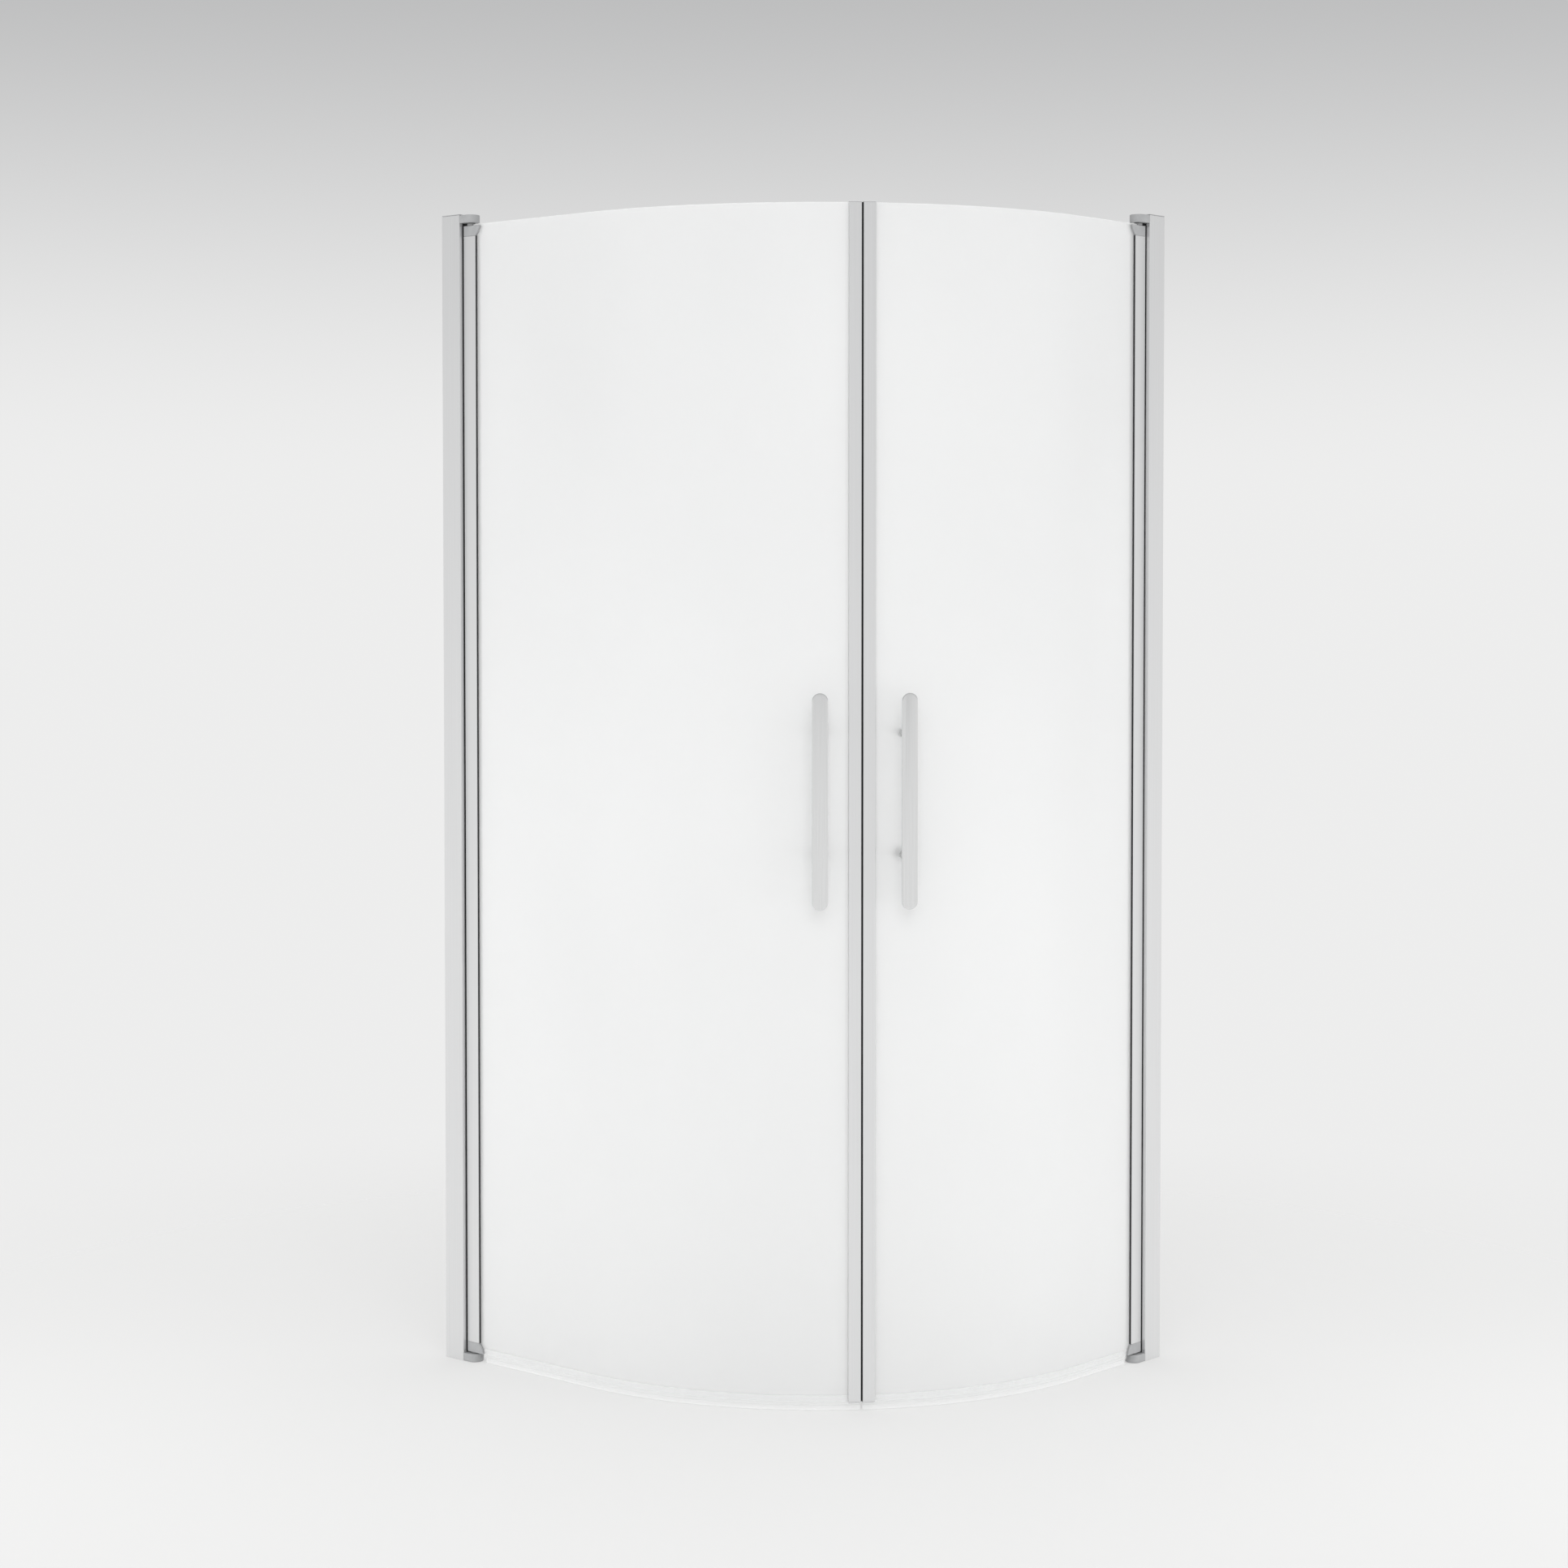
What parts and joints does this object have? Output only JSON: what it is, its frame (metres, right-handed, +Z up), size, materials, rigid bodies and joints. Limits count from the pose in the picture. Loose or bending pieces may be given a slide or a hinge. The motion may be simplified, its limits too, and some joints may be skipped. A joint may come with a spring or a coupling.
{
  "type": "round shower enclosure",
  "caption": "Quadrant corner shower enclosure with bent frosted-glass swing doors on wall posts, pivot hinges, magnetic meeting strips, floor seals and flat bar handles",
  "frame": {"origin": "the corner where the planes of the two walls meet the floor", "axes": "+X along the back wall away from the corner, -Y along the left wall away from the corner, +Z up"},
  "size_m": [0.896, 0.79, 1.9],
  "materials": {
    "satin_aluminium": "satin anodised, neutral silver",
    "cap_grey": "matte mid-grey moulding",
    "steel": "plain stainless",
    "handle_metal": "soft polished metal",
    "black_rubber": "matte black",
    "bush_plastic": "matte grey",
    "frosted_glass": "frosted, near white",
    "clear_vinyl": "clear flexible strip"
  },
  "bodies": {
    "wall_posts": {"left_wall_channel": "satin_aluminium", "left_hinge_post": "satin_aluminium", "left_post_cap": "cap_grey", "left_post_seal": "black_rubber", "left_bottom_pivot_bracket": "cap_grey", "left_top_pivot_bracket": "cap_grey", "left_bottom_bracket_screw": "steel", "left_top_bracket_screw": "steel", "left_bottom_pivot_pin": "steel", "left_top_pivot_pin": "steel", "right_wall_channel": "satin_aluminium", "right_hinge_post": "satin_aluminium", "right_post_cap": "cap_grey", "right_post_seal": "black_rubber", "right_bottom_pivot_bracket": "cap_grey", "right_top_pivot_bracket": "cap_grey", "right_bottom_bracket_screw": "steel", "right_top_bracket_screw": "steel", "right_bottom_pivot_pin": "steel", "right_top_pivot_pin": "steel"},
    "door_left": {"left_hinge_stile": "satin_aluminium", "left_glazing_gasket": "black_rubber", "left_stile_cap_bottom": "cap_grey", "left_stile_cap_top": "cap_grey", "left_pivot_bush_bottom": "bush_plastic", "left_pivot_bush_top": "bush_plastic", "left_door_glass": "frosted_glass", "left_closing_profile": "satin_aluminium", "left_closing_cap_bottom": "cap_grey", "left_closing_cap_top": "cap_grey", "left_magnet_seal": "black_rubber", "left_bottom_seal": "clear_vinyl", "left_handle_bar": "handle_metal", "left_handle_standoff_lower": "handle_metal", "left_handle_standoff_upper": "handle_metal", "left_glass_washer_lower": "clear_vinyl", "left_glass_washer_upper": "clear_vinyl", "left_inner_knob": "handle_metal", "left_inner_cap": "handle_metal"},
    "door_right": {"right_hinge_stile": "satin_aluminium", "right_glazing_gasket": "black_rubber", "right_stile_cap_bottom": "cap_grey", "right_stile_cap_top": "cap_grey", "right_pivot_bush_bottom": "bush_plastic", "right_pivot_bush_top": "bush_plastic", "right_door_glass": "frosted_glass", "right_closing_profile": "satin_aluminium", "right_closing_cap_bottom": "cap_grey", "right_closing_cap_top": "cap_grey", "right_magnet_seal": "black_rubber", "right_bottom_seal": "clear_vinyl", "right_handle_bar": "handle_metal", "right_handle_standoff_lower": "handle_metal", "right_handle_standoff_upper": "handle_metal", "right_glass_washer_lower": "clear_vinyl", "right_glass_washer_upper": "clear_vinyl", "right_inner_knob": "handle_metal", "right_inner_cap": "handle_metal"}
  },
  "joints": [
    {"name": "door_left_swing", "type": "hinge", "parent": "wall_posts", "child": "door_left", "pos_m": [0.056, -0.776, 0], "axis": [0, 0, -1], "range_deg": [0, 95]},
    {"name": "door_right_swing", "type": "hinge", "parent": "wall_posts", "child": "door_right", "pos_m": [0.882, -0.056, 0], "axis": [0, 0, 1], "range_deg": [0, 95]}
  ]
}
